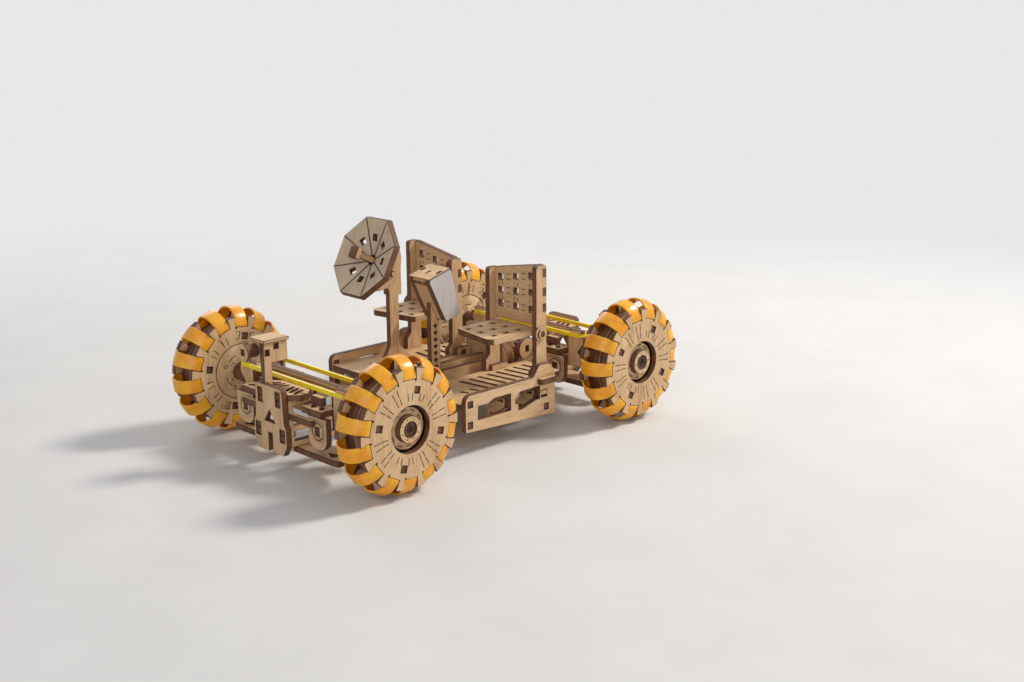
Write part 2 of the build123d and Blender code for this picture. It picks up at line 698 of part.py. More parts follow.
# Columns: height of the row at the inner hole, rise of the row over one hole pitch
BACK_ROWS = ((62.1, 0.0), (69.0, 0.85), (75.8, 1.7))
BACK_HOLE_X = 20.0
BACK_HOLE_PITCH = 11.0
with BuildPart() as seat_backs:
    with BuildSketch(crosswise(back_y + PLY / 2)):
        outline(
            (
                (SEAT_IN_X + PLY, BACK_LOW_Z), (SEAT_OUT_X, BACK_LOW_Z), (SEAT_OUT_X, BACK_OUT_TOP_Z),
                (SEAT_IN_X + PLY, BACK_IN_TOP_Z),
            )
        )
        for row_z, rise in BACK_ROWS:
            for step in range(3):
                with Locations((BACK_HOLE_X + step * BACK_HOLE_PITCH, row_z + step * rise)):
                    Rectangle(PEG_HOLE, PEG_HOLE, mode=Mode.SUBTRACT)
    board()
    mirror(about=Plane.YZ)
write(seat_backs, "seat_backs")

for name, side in (("left", 1), ("right", -1)):
    with BuildPart() as seat_pan:
        pan_rear_y = hinge_y + PAN_TAIL
        with BuildSketch(Plane.XY.offset(PAN_MID_Z - PLY / 2)):
            outline(
                (
                    (side * pan_in_x, PAN_FRONT_IN_Y), (side * pan_out_x, PAN_FRONT_OUT_Y),
                    (side * pan_out_x, pan_rear_y), (side * pan_in_x, pan_rear_y),
                ),
                radius=(3, 4, 0, 0),
            )
            with Locations((side * (pan_in_x + pan_out_x) / 2, (PAN_FRONT_IN_Y + hinge_y) / 2 - 2)):
                with GridLocations(9.4, 8.4, 3, 3):
                    Rectangle(PEG_HOLE, PEG_HOLE, mode=Mode.SUBTRACT)
        extrude(amount=PLY)
        for start, stop, radius in (
            (SEAT_IN_X, pan_in_x, HINGE_R),
            (pan_out_x, SEAT_OUT_X + PLY + 1, HINGE_R),
            (SEAT_OUT_X + PLY + 0.2, SEAT_OUT_X + PLY + 1.2, HINGE_WASHER_R),
            (SEAT_OUT_X + PLY + 1.2, SEAT_OUT_X + PLY + 2.2, HINGE_HEAD_R),
        ):
            with BuildSketch(lengthwise(side * start)):
                with Locations((hinge_y, PAN_MID_Z)):
                    Circle(radius)
            extrude(amount=side * (stop - start))
    write(seat_pan, f"seat_pan_{name}")

# Mast with a flared foot and a head that the dish swings on
MAST_FOOT_H = 12.0
mast_rear_y = MAST_FRONT_Y + MAST_W
mast_head_y = PIVOT_Y - 4
mast_toe_y = MAST_FRONT_Y - 5
mast_heel_y = mast_rear_y + 8
with BuildPart() as mast:
    with BuildSketch(lengthwise(MAST_X)):
        outline(
            (
                (mast_toe_y, DECK_Z), (mast_toe_y, DECK_Z + 3), (MAST_FRONT_Y, DECK_Z + MAST_FOOT_H),
                (MAST_FRONT_Y, MAST_HEAD_Z + 3), (mast_head_y, MAST_HEAD_Z + 7),
                (mast_head_y, MAST_TOP_Z), (mast_rear_y + 2, MAST_TOP_Z), (mast_rear_y + 2, MAST_HEAD_Z),
                (mast_rear_y, MAST_HEAD_Z), (mast_rear_y, DECK_Z + MAST_FOOT_H),
                (mast_heel_y, DECK_Z + 3), (mast_heel_y, DECK_Z),
            ),
            radius=(0, 0.8, 5, 3, 2, 2.5, 2.5, 0, 0.8, 5, 0.8, 0),
        )
        with Locations((PIVOT_Y, PIVOT_Z)):
            Circle(PIVOT_R + PIN_FIT, mode=Mode.SUBTRACT)
    board()
    with BuildSketch(lengthwise(MAST_X - PLY)):
        outline(
            (
                (MAST_FRONT_Y + 1, MAST_HEAD_Z), (mast_rear_y + 4, MAST_HEAD_Z),
                (mast_rear_y + 4, MAST_TOP_Z), (MAST_FRONT_Y + 1, MAST_TOP_Z),
            ),
            radius=(0, 0, 2.5, 2.5),
        )
    board()
write(mast, "mast")

# Dish: eight flat petals set as a shallow pyramid, on a half round rib
dish_face = Plane(
    origin=(dish_x, DISH_Y, DISH_Z), x_dir=(1, 0, 0),
    z_dir=(0, -cos(radians(DISH_TILT)), sin(radians(DISH_TILT))),
)
apex = dish_face.offset(-DISH_DEPTH)
petal_l = hypot(DISH_DEPTH, DISH_R * cos(radians(22.5)))
petal_half_w = DISH_R * sin(radians(22.5))
mitre = PLY * tan(dish_slope)
with BuildPart() as petals:
    for turn in range(8):
        outward = dish_face.x_dir * cos(radians(turn * 45)) + dish_face.y_dir * sin(radians(turn * 45))
        petal_face = Plane(
            origin=apex.origin,
            x_dir=outward * cos(dish_slope) + dish_face.z_dir * sin(dish_slope),
            z_dir=dish_face.z_dir * cos(dish_slope) - outward * sin(dish_slope),
        )
        for lift, tip in ((0, 0), (-PLY, -mitre)):
            half_w = petal_half_w * (petal_l - tip) / petal_l
            with BuildSketch(petal_face.offset(lift)):
                with BuildLine():
                    Polyline((tip, 0), (petal_l, half_w), (petal_l, -half_w), close=True)
                make_face()
        loft(ruled=True)
        with BuildSketch(petal_face):
            with Locations((petal_l * 0.55, 0)):
                Rectangle(PEG_HOLE, PEG_HOLE)
        extrude(amount=-PLY, mode=Mode.SUBTRACT)
    with BuildSketch(apex.offset(DISH_DEPTH)):
        RegularPolygon(DISH_HOLE_R, 8)
    extrude(amount=-3 * DISH_DEPTH, mode=Mode.SUBTRACT)
write(petals, "dish_petals")

FEED_W = 3.2
FEED_SEAT = 1.0
rib_face = Plane(origin=apex.origin, x_dir=dish_face.y_dir, z_dir=(1, 0, 0))
rib_apex = -PLY / cos(dish_slope)
with BuildPart() as dish_rib:
    with BuildSketch(rib_face):
        with Locations((0, rib_apex)):
            Circle(RIB_R)
        with BuildLine():
            reach = 2 * RIB_R
            rise = reach * tan(dish_slope)
            Polyline(
                (0, rib_apex), (reach, rib_apex + rise), (reach, reach), (-reach, reach),
                (-reach, rib_apex + rise), close=True,
            )
        make_face(mode=Mode.SUBTRACT)
        with Locations((0, rib_apex - FEED_SEAT + RIB_R / 2)):
            Rectangle(FEED_W, RIB_R, mode=Mode.SUBTRACT)
    board()
    with BuildSketch(lengthwise(MAST_X - PLY / 2)):
        with Locations((PIVOT_Y, PIVOT_Z)):
            Circle(PIVOT_R)
    extrude(amount=2 * PLY + 1)
write(dish_rib, "dish_rib")

# Console: a slanted box of boards on a post, with a plain board on each side
CONSOLE_SIDE = ((-7.4, 77.4), (7.6, 81.7), (14.2, 57.3), (3.8, 54.5))
with BuildPart() as console_sides:
    for side in (-1, 1):
        with BuildSketch(lengthwise(side * (CONSOLE_HALF_W - PLY / 2))):
            outline(CONSOLE_SIDE, radius=1.5)
        board()
write(console_sides, "console_sides")

with BuildPart() as console_box:
    with BuildSketch(lengthwise(0)):
        outline(CONSOLE_SIDE, radius=1.5)
        offset(amount=-PLY, kind=Kind.INTERSECTION, mode=Mode.SUBTRACT)
    extrude(amount=CONSOLE_HALF_W - PLY, both=True)
write(console_box, "console_box")

with BuildPart() as console_post:
    with BuildSketch(lengthwise(0)):
        post_front_y, post_rear_y = CONSOLE_POST_Y
        outline(
            (
                (post_front_y, deck_low_z), (post_rear_y, deck_low_z), (post_rear_y, 54.9), (3.8, 54.5),
                (post_front_y, 64.3),
            )
        )
        with Locations(*[((post_front_y + post_rear_y) / 2, 30 + step * 3.6) for step in range(7)]):
            Rectangle(1.5, 1.5, rotation=45, mode=Mode.SUBTRACT)
    board()
write(console_post, "console_post")

# Television camera: one board makes its post and side, with the body and lens beside it
CAMERA_PEGS = ((6.9, 7.8), (1.7, 5.2))
camera_front_y = CAMERA_SET_BACK - end_face_y
camera_rear_y = camera_front_y + CAMERA_L
camera_low_z, camera_top_z = CAMERA_Z
camera_post_rear_y = camera_front_y + 4.2
with BuildPart() as camera_board:
    with BuildSketch(lengthwise(CAMERA_X - PLY / 2)):
        outline(
            (
                (-end_back_y, TOP_PANEL_Z + PLY), (camera_post_rear_y, TOP_PANEL_Z + PLY),
                (camera_post_rear_y, camera_low_z), (camera_rear_y, camera_low_z),
                (camera_rear_y, camera_top_z), (camera_front_y, camera_top_z),
                (camera_front_y, END_TOP_Z), (-end_back_y, END_TOP_Z),
            )
        )
        with Locations(*[(camera_front_y + back, camera_low_z + rise) for back, rise in CAMERA_PEGS]):
            Rectangle(2.6, 2.8, mode=Mode.SUBTRACT)
    board()
write(camera_board, "camera_board")

camera_body_x = CAMERA_X - PLY - CAMERA_BODY_W / 2
with BuildPart() as camera_body:
    with BuildSketch(Plane.XY.offset(camera_low_z)):
        with Locations((camera_body_x, (camera_front_y + camera_rear_y) / 2)):
            Rectangle(CAMERA_BODY_W, camera_rear_y - camera_front_y)
    extrude(amount=camera_top_z - camera_low_z)
    with BuildSketch(Plane.XY.offset(camera_top_z)):
        with Locations((camera_body_x + PLY / 2, (camera_front_y + camera_rear_y) / 2)):
            Rectangle(CAMERA_BODY_W + PLY + 2, CAMERA_L + 1.4)
    extrude(amount=PLY / 2)
write(camera_body, "camera_body")

with BuildPart() as camera_lens:
    lens_z = (camera_low_z + camera_top_z) / 2 + 0.9
    with BuildSketch(crosswise(camera_front_y)):
        with Locations((camera_body_x, lens_z)):
            Circle(LENS_R - 1.2)
    extrude(amount=LENS_L)
    with BuildSketch(crosswise(camera_front_y - LENS_L)):
        with Locations((camera_body_x, lens_z)):
            Circle(LENS_R)
            Rectangle(PEG_HOLE - 0.4, PEG_HOLE - 0.4, mode=Mode.SUBTRACT)
    extrude(amount=PLY / 2)
write(camera_lens, "camera_lens")

# Feed: a bar along the dish's axis with a short block across its tip
with BuildPart() as dish_feed:
    with BuildSketch(apex.offset(rib_apex - FEED_SEAT)):
        Rectangle(PLY, FEED_W)
    extrude(amount=FEED_L - rib_apex + FEED_SEAT)
    with BuildSketch(apex.offset(FEED_L - PLY)):
        Rectangle(2 * PLY, 2 * PLY)
    extrude(amount=PLY)
write(dish_feed, "dish_feed")
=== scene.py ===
from math import cos, isclose, pi, radians, sin

import bpy
from mathutils import Matrix, Quaternion, Vector


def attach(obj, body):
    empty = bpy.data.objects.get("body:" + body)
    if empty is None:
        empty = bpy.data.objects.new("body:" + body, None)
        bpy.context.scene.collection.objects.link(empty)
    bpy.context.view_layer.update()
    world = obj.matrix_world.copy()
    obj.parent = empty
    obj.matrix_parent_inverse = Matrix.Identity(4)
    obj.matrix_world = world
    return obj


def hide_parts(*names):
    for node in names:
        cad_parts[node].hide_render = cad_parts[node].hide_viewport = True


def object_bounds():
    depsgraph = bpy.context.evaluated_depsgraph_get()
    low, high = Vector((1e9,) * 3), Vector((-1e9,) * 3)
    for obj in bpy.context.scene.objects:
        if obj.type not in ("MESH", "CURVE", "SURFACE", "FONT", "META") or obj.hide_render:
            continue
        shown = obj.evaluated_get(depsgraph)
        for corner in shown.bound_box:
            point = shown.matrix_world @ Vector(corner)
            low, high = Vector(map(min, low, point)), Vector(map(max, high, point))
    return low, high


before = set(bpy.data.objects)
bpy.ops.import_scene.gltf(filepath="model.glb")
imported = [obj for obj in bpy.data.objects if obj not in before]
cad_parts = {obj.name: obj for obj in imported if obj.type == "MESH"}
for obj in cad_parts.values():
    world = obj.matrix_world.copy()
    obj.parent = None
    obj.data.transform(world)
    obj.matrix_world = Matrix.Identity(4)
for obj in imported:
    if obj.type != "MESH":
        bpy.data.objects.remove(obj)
cad_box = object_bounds()
MM = 0.001


# Chassis side frames, footrests, spars and ribs
# Birch plywood boards, 3 mm thick, cut by a laser that leaves their edges burnt brown
# with a thin black line along every corner; they plug together with square pegs.
CHAR_W = 0.24 * MM
SMALL_CHAR_W = 0.2 * MM
LINE_W = 0.42 * MM
WELD = 0.001 * MM
FLAT = radians(0.5)
SMOOTH = radians(25)
SHARP = radians(35)
BIRCH_PALE = (0.74, 0.505, 0.295, 1)
BIRCH_MID = (0.61, 0.385, 0.205, 1)
BIRCH_DARK = (0.43, 0.245, 0.118, 1)
BURNT_LIGHT = (0.18, 0.070, 0.028, 1)
BURNT_DARK = (0.040, 0.017, 0.009, 1)
CHAR = (0.022, 0.012, 0.009, 1)
AXES = {"x": Vector((1, 0, 0)), "y": Vector((0, 1, 0)), "z": Vector((0, 0, 1))}


def only(*things):
    """Select these objects and nothing else, with the first one active."""
    bpy.ops.object.select_all(action="DESELECT")
    for thing in things:
        thing.select_set(True)
    bpy.context.view_layer.objects.active = things[0]


def new_material(name):
    """New node material, with its node tree and shader."""
    material = bpy.data.materials.new(name)
    material.use_nodes = True
    tree = material.node_tree
    return material, tree, tree.nodes["Principled BSDF"]


def place_pattern(tree, scale=(1, 1, 1)):
    """Object coordinates in millimetres, each axis scaled."""
    coordinate = tree.nodes.new("ShaderNodeTexCoord")
    mapping = tree.nodes.new("ShaderNodeMapping")
    mapping.vector_type = "TEXTURE"
    mapping.inputs["Scale"].default_value = [MM / s for s in scale]
    tree.links.new(coordinate.outputs["Object"], mapping.inputs["Vector"])
    return mapping.outputs["Vector"]


def noise(tree, vector, scale, detail, rough=0.5, distort=0.0):
    """Cloudy pattern between nought and one."""
    node = tree.nodes.new("ShaderNodeTexNoise")
    node.inputs["Scale"].default_value = scale
    node.inputs["Detail"].default_value = detail
    node.inputs["Roughness"].default_value = rough
    node.inputs["Distortion"].default_value = distort
    tree.links.new(vector, node.inputs["Vector"])
    return node.outputs["Fac"]


def ramp(tree, value, *stops):
    """Colour ramp with (place, colour) stops."""
    node = tree.nodes.new("ShaderNodeValToRGB")
    band = node.color_ramp
    while len(band.elements) < len(stops):
        band.elements.new(0.5)
    for element, (place, colour) in zip(band.elements, stops):
        element.position = place
        element.color = colour
    tree.links.new(value, node.inputs["Fac"])
    return node.outputs["Color"]


def darkened(tree, share, colour, shade):
    """A colour multiplied by a shade, for a share of its strength."""
    node = tree.nodes.new("ShaderNodeMix")
    node.data_type = "RGBA"
    node.blend_type = "MULTIPLY"
    node.inputs["Factor"].default_value = share
    tree.links.new(colour, node.inputs["A"])
    tree.links.new(shade, node.inputs["B"])
    return node.outputs["Result"]


def grey(level):
    """Neutral colour of one level."""
    return (level, level, level, 1)


def bump(tree, shader, height, strength, depth):
    """Fine relief on a shader from a pattern."""
    node = tree.nodes.new("ShaderNodeBump")
    node.inputs["Strength"].default_value = strength
    node.inputs["Distance"].default_value = depth
    tree.links.new(height, node.inputs["Height"])
    tree.links.new(node.outputs["Normal"], shader.inputs["Normal"])


def added(tree, broad, weight, fine):
    """A broad pattern, weighted, plus a fine one."""
    node = tree.nodes.new("ShaderNodeMath")
    node.operation = "MULTIPLY_ADD"
    tree.links.new(broad, node.inputs[0])
    node.inputs[1].default_value = weight
    tree.links.new(fine, node.inputs[2])
    return node.outputs["Value"]


GRAIN_STRETCH = {"x": (0.045, 1, 1), "y": (1, 0.045, 1), "z": (1, 1, 0.045)}


def birch(name, grain, pale=BIRCH_PALE, mid=BIRCH_MID, dark=BIRCH_DARK):
    """Face veneer of birch ply, its fibres running along one axis."""
    material, tree, shader = new_material(name)
    along = GRAIN_STRETCH[grain]
    fibres = noise(tree, place_pattern(tree, along), scale=3.2, detail=6, rough=0.65, distort=0.25)
    broad = place_pattern(tree, [s ** 0.6 for s in along])
    figure = noise(tree, broad, scale=0.16, detail=3, distort=0.8)
    flecks = noise(tree, place_pattern(tree, [s * 2.4 for s in along]), scale=2.6, detail=2)
    wood = ramp(tree, added(tree, figure, 0.55, fibres), (0.56, dark), (0.72, mid), (0.93, pale))
    pores = ramp(tree, flecks, (0.29, grey(0.55)), (0.36, grey(1.0)))
    tree.links.new(darkened(tree, 0.55, wood, pores), shader.inputs["Base Color"])
    dullness = ramp(tree, fibres, (0.3, grey(0.72)), (0.7, grey(0.52)))
    tree.links.new(dullness, shader.inputs["Roughness"])
    shader.inputs["Specular IOR Level"].default_value = 0.35
    bump(tree, shader, fibres, strength=0.25, depth=0.05 * MM)
    return material


def burnt(name, stretch, light=BURNT_LIGHT, dark=BURNT_DARK):
    """Laser-cut edge: scorched brown, with fine streaks left by the beam."""
    material, tree, shader = new_material(name)
    streaks = noise(tree, place_pattern(tree, stretch), scale=2.4, detail=5, rough=0.7)
    scorch = noise(tree, place_pattern(tree), scale=0.22, detail=3, rough=0.6)
    colour = ramp(tree, added(tree, scorch, 0.9, streaks), (0.70, dark), (1.12, light))
    tree.links.new(colour, shader.inputs["Base Color"])
    dullness = ramp(tree, streaks, (0.3, grey(0.5)), (0.7, grey(0.75)))
    tree.links.new(dullness, shader.inputs["Roughness"])
    bump(tree, shader, streaks, strength=0.3, depth=0.06 * MM)
    return material


face = {axis: birch(f"birch_along_{axis}", axis) for axis in "xyz"}
EDGE_STRETCH = {"x": (1, 0.22, 0.22), "y": (0.22, 1, 0.22), "z": (0.22, 0.22, 1)}
edge = {axis: burnt(f"burnt_edge_{axis}", EDGE_STRETCH[axis]) for axis in "xyz"}
char = burnt("char_line", (1, 1, 1), CHAR, CHAR)


def merged_copy(node):
    """Merged copy of a board, with each flat stretch as whole faces."""
    piece = bpy.data.objects.new(node + "_board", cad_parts[node].data.copy())
    bpy.context.scene.collection.objects.link(piece)
    only(piece)
    bpy.ops.object.mode_set(mode="EDIT")
    bpy.ops.mesh.select_all(action="SELECT")
    bpy.ops.mesh.remove_doubles(threshold=WELD)
    bpy.ops.mesh.dissolve_limited(angle_limit=FLAT)
    bpy.ops.object.mode_set(mode="OBJECT")
    return piece


def faced(piece, lies, veneer, rim, slack=0.1):
    """Veneer for faces that lie across one of these directions, burnt edge for the rest."""
    piece.data.materials.clear()
    for material in (veneer, rim, char):
        piece.data.materials.append(material)
    for polygon in piece.data.polygons:
        flat = any(abs(polygon.normal.dot(way)) > 1 - slack for way in lies)
        polygon.material_index = 0 if flat else 1


def eased(piece, width=CHAR_W):
    """Break every sharp corner with a thin charred line."""
    only(piece)
    bpy.ops.object.modifier_add(type="BEVEL")
    bevel = piece.modifiers[-1]
    bevel.width = width
    bevel.segments = 1
    bevel.limit_method = "ANGLE"
    bevel.angle_limit = SHARP
    bevel.material = 2
    bevel.use_clamp_overlap = False
    bpy.ops.object.modifier_apply(modifier=bevel.name)
    bpy.ops.object.shade_smooth_by_angle(angle=SMOOTH)


def placed(piece, body, node=None):
    """Fix a finished piece to its body, in place of a plain solid if one is named."""
    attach(piece, body)
    if node:
        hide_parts(node)
    return piece


def dressed(node, lies, veneer, body="chassis", line=CHAR_W):
    """A board in place of its plain solid."""
    piece = merged_copy(node)
    faced(piece, [AXES[axis] for axis in lies], veneer, edge[lies[0]])
    eased(piece, line)
    return placed(piece, body, node)


def settle(piece, columns, place):
    """Stand a new primitive on three directions at a place, and apply that to its mesh."""
    turn = Matrix(columns).transposed().to_4x4()
    turn.translation = place
    piece.matrix_world = turn
    bpy.ops.object.transform_apply(location=True, rotation=True, scale=True)
    return piece


def block(place, along, across, length, width, height, finish):
    """Block centred on a place, its length and width along two directions."""
    bpy.ops.object.select_all(action="DESELECT")
    bpy.ops.mesh.primitive_cube_add(size=1)
    piece = bpy.context.object
    piece.data.materials.append(finish)
    return settle(piece, (along * length, across * width, along.cross(across) * height), place)


def joined(pieces, name):
    """Several pieces as one, under a name."""
    only(*pieces)
    bpy.ops.object.join()
    whole = bpy.context.object
    whole.name = name
    return whole


def engraved(piece, marks):
    """Burn these marks into each board of a finished piece."""
    tool = joined(marks, "burn")
    only(piece)
    bpy.ops.object.mode_set(mode="EDIT")
    bpy.ops.mesh.select_all(action="SELECT")
    bpy.ops.mesh.quads_convert_to_tris()
    bpy.ops.mesh.separate(type="LOOSE")
    bpy.ops.object.mode_set(mode="OBJECT")
    others = [board for board in bpy.context.selected_objects if board != piece]
    for board in [piece] + others:
        only(board)
        bpy.ops.object.modifier_add(type="BOOLEAN")
        burn = board.modifiers[-1]
        burn.object = tool
        burn.operation = "DIFFERENCE"
        burn.solver = "EXACT"
        burn.material_mode = "TRANSFER"
        burn.use_self = True
        bpy.ops.object.modifier_apply(modifier=burn.name)
    bpy.data.objects.remove(tool)
    joined([piece] + others, piece.name)
    bpy.ops.object.shade_smooth_by_angle(angle=SMOOTH)


def pegs(name, spots, along, across, length, width, height, body="chassis"):
    """Charred peg ends that fill square holes, all as one piece."""
    depth = along.cross(across)
    rim = edge["xyz"[max(range(3), key=lambda i: abs(depth[i]))]]
    ends = joined([block(spot, along, across, length, width, height, rim) for spot in spots], name)
    ends.data.materials.append(rim)
    ends.data.materials.append(char)
    eased(ends, SMALL_CHAR_W)
    placed(ends, body)


PEG_W = 2.9 * MM
PEG_L = 2.2 * MM
FRAME_MID_X = 52.5 * MM
FRAME_PEGS = ((-22.1, 26.2), (-22.3, 15.8), (29.8, 14.2))
FOOTREST_OUTER_X = 54.1 * MM
for side in ("left", "right"):
    dressed(f"side_frame_{side}", "x", face["y"])
footrests = merged_copy("footrests")
faced(footrests, [AXES["z"]], face["y"], edge["z"])
for polygon in footrests.data.polygons:
    if abs(polygon.normal.x) > 0.9 and abs(polygon.center.x) < FOOTREST_OUTER_X:
        polygon.material_index = 0
eased(footrests)
placed(footrests, "chassis", "footrests")
frame_spots = [
    Vector((way * FRAME_MID_X, y * MM, z * MM)) for way in (-1, 1) for y, z in FRAME_PEGS
]
pegs("frame_pegs", frame_spots, AXES["y"], AXES["z"], PEG_W, PEG_W, PEG_L)
spars = dressed("spars", "x", face["y"])
SPAR_MID_X = 9.5 * MM
TAB_Y = 99.6 * MM
TAB_MID_Z = 18.2 * MM
TAB_CUT = 1 * MM
tab_spots = [
    Vector((way * SPAR_MID_X, end * TAB_Y, TAB_MID_Z)) for way in (-1, 1) for end in (-1, 1)
]
engraved(spars, [
    block(spot, AXES["x"], AXES["z"], PEG_W, LINE_W, TAB_CUT, char) for spot in tab_spots
])
dressed("deck_ribs", "y", face["x"])

# Deck, centre floor and tunnel
# Slotted birch boards that lie on the ribs, the slots cut through in one pass. Low beams, a
# bulkhead and round drive discs are pegged between them along the middle.
dressed("deck", "z", face["y"])
dressed("centre_floor", "z", face["y"])
dressed("tunnel_beams", "x", face["y"])
dressed("bulkhead", "y", face["x"])
dressed("drive_discs", "y", face["x"])
dressed("winder", "x", face["y"])

# End modules
# Steering forks, hinge plates and the boards that box them in, the same at both ends.
# The laser also scores a ring round each hinge plate's hole and a seam along the cross beam.
HALF_BASE = 77.75 * MM
LINE_DEPTH = 0.25 * MM
LINE_CUT = 2 * LINE_DEPTH
ARC_STEP = radians(9)
HINGE_D = 16.25 * MM
HINGE_X = 29 * MM
HINGE_Z = 23.75 * MM
HINGE_RING_R = 4.1 * MM
HINGE_TAB_X = 0.8 * MM
HINGE_TAB_IN = 1.5 * MM
HINGE_TAB = (1.35 * MM, 3.8 * MM, 2.3 * MM)
BEAM_FACE_Y = 1.5 * MM
BEAM_LINE_Z = 39.5 * MM
BEAM_LINE_L = 52 * MM
SHELF_TAB_PLACE = (7.1 * MM, 98.2 * MM, 33.3 * MM)
SHELF_TAB = (PEG_W, 2.7 * MM, 2.4 * MM)


def arc(centre, axis, start, radius, sweep, width, height, finish):
    """Bar bent about an axis from a start direction, closed when it goes all round."""
    bpy.ops.object.select_all(action="DESELECT")
    bpy.ops.mesh.primitive_plane_add(size=1)
    piece = bpy.context.object
    piece.data.materials.append(finish)
    settle(piece, (start * width, axis * height, start.cross(axis)), centre + start * radius)
    bpy.ops.object.mode_set(mode="EDIT")
    bpy.ops.mesh.select_all(action="SELECT")
    if isclose(sweep, 2 * pi):
        bpy.ops.mesh.delete(type="ONLY_FACE")
        bpy.ops.mesh.select_all(action="SELECT")
    steps = max(3, round(sweep / ARC_STEP))
    bpy.ops.mesh.spin(steps=steps, angle=-sweep, center=centre, axis=axis)
    bpy.ops.mesh.select_all(action="SELECT")
    bpy.ops.mesh.remove_doubles(threshold=WELD)
    bpy.ops.mesh.normals_make_consistent(inside=False)
    bpy.ops.object.mode_set(mode="OBJECT")
    return piece


for place, end in (("front", -1), ("rear", 1)):
    axle_y = end * HALF_BASE
    dressed(f"fork_plates_{place}", "z", face["x"])
    dressed(f"fork_posts_{place}", "y", face["z"])
    hinges = dressed(f"circle_plates_{place}", "y", face["x"])
    hinge_spots = [
        (way, Vector((side * HINGE_X, axle_y + way * HINGE_D, HINGE_Z)))
        for way in (-1, 1) for side in (-1, 1)
    ]
    engraved(hinges, [
        arc(spot, AXES["y"], AXES["x"], HINGE_RING_R, 2 * pi, LINE_W, LINE_CUT, char)
        for way, spot in hinge_spots
    ])
    hinge_tabs = [
        spot + Vector((tab * HINGE_TAB_X, -way * HINGE_TAB_IN, 0))
        for way, spot in hinge_spots for tab in (-1, 1)
    ]
    pegs(f"hinge_pegs_{place}", hinge_tabs, AXES["x"], AXES["z"], *HINGE_TAB)
    dressed(f"brackets_{place}", "z", face["x"])
    dressed(f"arms_{place}", "z", face["x"])
    beam = dressed(f"cross_beam_{place}", "xy", face["x"])
    beam_faces = [Vector((0, axle_y + way * BEAM_FACE_Y, BEAM_LINE_Z)) for way in (-1, 1)]
    engraved(beam, [
        block(spot, AXES["x"], AXES["z"], BEAM_LINE_L, LINE_W, LINE_CUT, char)
        for spot in beam_faces
    ])
    dressed(f"top_panel_{place}", "z", face["x"])
    dressed(f"end_plate_{place}", "y", face["z"])
    tab_x, tab_y, tab_z = SHELF_TAB_PLACE
    shelf_tabs = [Vector((way * tab_x, end * tab_y, tab_z)) for way in (-1, 1)]
    pegs(f"shelf_tabs_{place}", shelf_tabs, AXES["x"], AXES["z"], *SHELF_TAB)

# Wheels
# Two notched birch discs with a stack of rings between them, on a pin in the knuckle.
# Scored dashes mark the place of each strap, and dark pegs fill the square holes.
AXLE_Z = 32 * MM
DISC_FACES = {"outer": 76 * MM, "inner": 57.5 * MM}
PEG_MID_X = {"outer": 74.3 * MM, "inner": 59.2 * MM}
HUB_FLOOR_X = 73 * MM
AXLE_END_X = 74.2 * MM
STRAPS = 14
STRAP_PITCH = radians(360 / STRAPS)
FIRST_STRAP = {"front_left": 89.1, "front_right": 84.0, "rear_left": 75.2, "rear_right": 46.4}
HOLE_TURN = {"outer": STRAP_PITCH / 2, "inner": STRAP_PITCH / 4}
HOLE_R = 18 * MM
PAIR_TURN = radians(4.3)
BARE_MARKS = (3, 10)
SHORT_MARKS = (0, 6, 7, 13)
NOTCH_CORNER_R = 22.6 * MM
NOTCH_CORNER_TURN = radians(8.2)
NOTCH_CORNER = (1.5 * MM, 0.9 * MM, 1.0 * MM)
OUTER_DASHES = ((13.0, 16.4), (17.0, 20.8))
INNER_DASH = (15.8, 19.6)
INNER_RING_R = 14 * MM
INNER_RING_W = 0.45 * MM
BRACKET_SIDE = 3.3 * MM
BRACKET_L = 3.9 * MM
BRACKET_TIP_SIDE = 4.4 * MM
BRACKET_TIP_L = 2.0 * MM
BRACKET_TIP_R = (16.2 * MM, 19.8 * MM)
HUB_ARC_R = 8.4 * MM
HUB_ARC_START = radians(26)
HUB_ARC_SWEEP = radians(36)
EYELET_TURN = radians(80)
EYELET_PLACE_R = 8.7 * MM
EYELET_R = 0.95 * MM
EYELET_W = 0.3 * MM
PRICK_TURN = radians(50)
PRICK_PLACE_R = 5.9 * MM
PRICK = (0.8 * MM, 0.8 * MM, 1.2 * MM)
FLOOR_DASHES = 10
FLOOR_RING_R = 8.6 * MM
FLOOR_DASH_SWEEP = radians(20)
CAP_PINS = 8
CAP_PIN_TURN = radians(20)
CAP_PIN_R = 4.85 * MM
CAP_PIN = (0.6 * MM, 0.6 * MM, 1.2 * MM)
AXLE_END_R = 3.55 * MM
AXLE_END_L = 2 * MM
AXLE_CUTS = ((6.0 * MM, 0.5 * MM), (0.5 * MM, 6.0 * MM), (3.0 * MM, 3.0 * MM))
AXLE_CUT_DEPTH = 0.9 * MM
AXLE_RING = (2.7 * MM, 2 * pi, 0.25 * MM, 0.4 * MM)


def spoke(angle):
    """Directions outwards and onwards at an angle round the axle."""
    return Vector((0, cos(angle), sin(angle))), Vector((0, -sin(angle), cos(angle)))


def score(centre, angle, near, far):
    """Radial dash between two radii in millimetres."""
    out, on = spoke(angle)
    middle = (near + far) / 2 * MM
    return block(centre + out * middle, out, on, (far - near) * MM, LINE_W, LINE_CUT, char)


def strap_corners(centre, side, first):
    """Dark relief cut at one corner of every notch."""
    cuts = []
    for turn in range(STRAPS):
        out, on = spoke(first + STRAP_PITCH * turn - side * NOTCH_CORNER_TURN)
        cuts.append(block(centre + out * NOTCH_CORNER_R, out, on, *NOTCH_CORNER, char))
    return cuts


